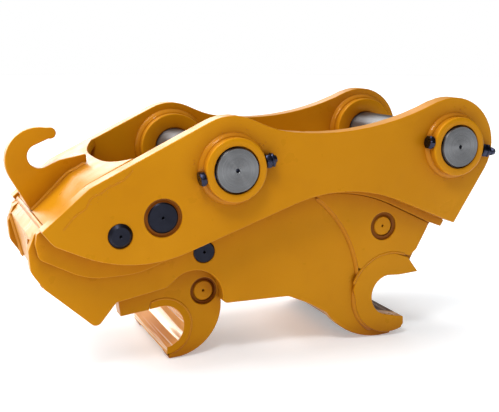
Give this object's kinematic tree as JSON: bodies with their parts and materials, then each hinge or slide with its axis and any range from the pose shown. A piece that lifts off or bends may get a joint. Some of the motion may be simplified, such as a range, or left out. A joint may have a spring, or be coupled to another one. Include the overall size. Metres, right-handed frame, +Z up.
{
  "type": "quick coupler",
  "caption": "Excavator pin-grab quick coupler: welded side plates with ears and pins, a fixed hook, a hydraulically moved hook, a safety latch and a lifting hook.",
  "frame": {"origin": "on the floor, under the middle of the coupler's bounding box, with the coupler standing on its two hooks", "axes": "+X from the nose and moving hook towards the link pin and the fixed hook, Y along the pins, +Z up"},
  "size_m": [0.918, 0.453, 0.4801],
  "materials": {
    "yellow_paint": "gloss enamel over flame-cut and welded plate",
    "hook_paint": "gloss enamel over cast and cut plate",
    "ground_steel": "turned end faces, ground barrel",
    "zinc_steel": "plain machined steel",
    "black_bolt": "black oxide",
    "black_pin": "black oxide, satin",
    "spring_steel": "oiled spring wire",
    "cylinder_paint": "satin black enamel",
    "chrome_rod": "hard chrome, polished"
  },
  "bodies": {
    "frame": {"upper_side_plate_near": "yellow_paint", "upper_side_plate_far": "yellow_paint", "doubler_plate_near": "yellow_paint", "doubler_plate_far": "yellow_paint", "lower_side_plate_near": "yellow_paint", "lower_side_plate_far": "yellow_paint", "fixed_hook_cheek_near": "yellow_paint", "fixed_hook_cheek_far": "yellow_paint", "fixed_hook_pad_near": "yellow_paint", "fixed_hook_pad_far": "yellow_paint", "fixed_hook_saddle": "yellow_paint", "nose_top_plate": "yellow_paint", "nose_front_plate": "yellow_paint", "lifting_hook": "yellow_paint", "deck_plate": "yellow_paint", "rear_cross_plate": "yellow_paint", "belly_plate": "yellow_paint", "stick_outer_boss_near": "yellow_paint", "stick_outer_boss_far": "yellow_paint", "stick_inner_boss_near": "yellow_paint", "stick_inner_boss_far": "yellow_paint", "link_outer_boss_near": "yellow_paint", "link_outer_boss_far": "yellow_paint", "link_inner_boss_near": "yellow_paint", "link_inner_boss_far": "yellow_paint", "stick_pin": "ground_steel", "link_pin": "ground_steel", "stick_pin_bolt": "black_bolt", "stick_pin_nut": "black_bolt", "stick_pin_lock_nut": "black_bolt", "link_pin_bolt": "black_bolt", "link_pin_nut": "black_bolt", "link_pin_lock_nut": "black_bolt", "hook_pivot_pin": "black_pin", "cylinder_base_pin": "yellow_paint", "latch_pin": "black_pin", "latch_stop_pin": "black_pin", "latch_spring": "spring_steel"},
    "moving_hook": {"moving_hook_plate_near": "hook_paint", "moving_hook_plate_far": "hook_paint", "moving_hook_saddle": "hook_paint", "moving_hook_hub": "hook_paint", "moving_hook_back_plate": "hook_paint", "latch_block": "hook_paint", "cylinder_rod_pin": "hook_paint"},
    "cylinder": {"cylinder_barrel": "cylinder_paint", "cylinder_base_eye": "cylinder_paint", "cylinder_gland": "black_bolt", "base_port_fitting": "zinc_steel", "rod_port_fitting": "zinc_steel"},
    "piston_rod": {"cylinder_rod": "chrome_rod", "cylinder_piston": "zinc_steel", "cylinder_rod_eye": "cylinder_paint"},
    "safety_latch": {"safety_latch": "yellow_paint"}
  },
  "joints": [
    {"name": "hook_pivot", "type": "hinge", "parent": "frame", "child": "moving_hook", "pos_m": [-0.12986, 0, 0.20713], "axis": [0, -1, 0], "range_deg": [0, 24]},
    {"name": "cylinder_pivot", "type": "hinge", "parent": "frame", "child": "cylinder", "pos_m": [0.24156, 0, 0.22805], "axis": [0, -1, 0], "range_deg": [-0.1152, 0]},
    {"name": "rod_slide", "type": "slide", "parent": "cylinder", "child": "piston_rod", "axis": [0.9615, 0, 0.2748], "range_m": [0, 0.03505]},
    {"name": "latch_pivot", "type": "hinge", "parent": "frame", "child": "safety_latch", "pos_m": [-0.22076, 0, 0.28585], "axis": [0, -1, 0], "range_deg": [0, 31.5]}
  ],
  "couplings": [
    {"joint": "cylinder_pivot", "follows": "hook_pivot", "ratio": -0.004},
    {"joint": "rod_slide", "follows": "hook_pivot", "m_per_rad": 0.082473},
    {"joint": "latch_pivot", "follows": "hook_pivot", "ratio": 1.3}
  ]
}
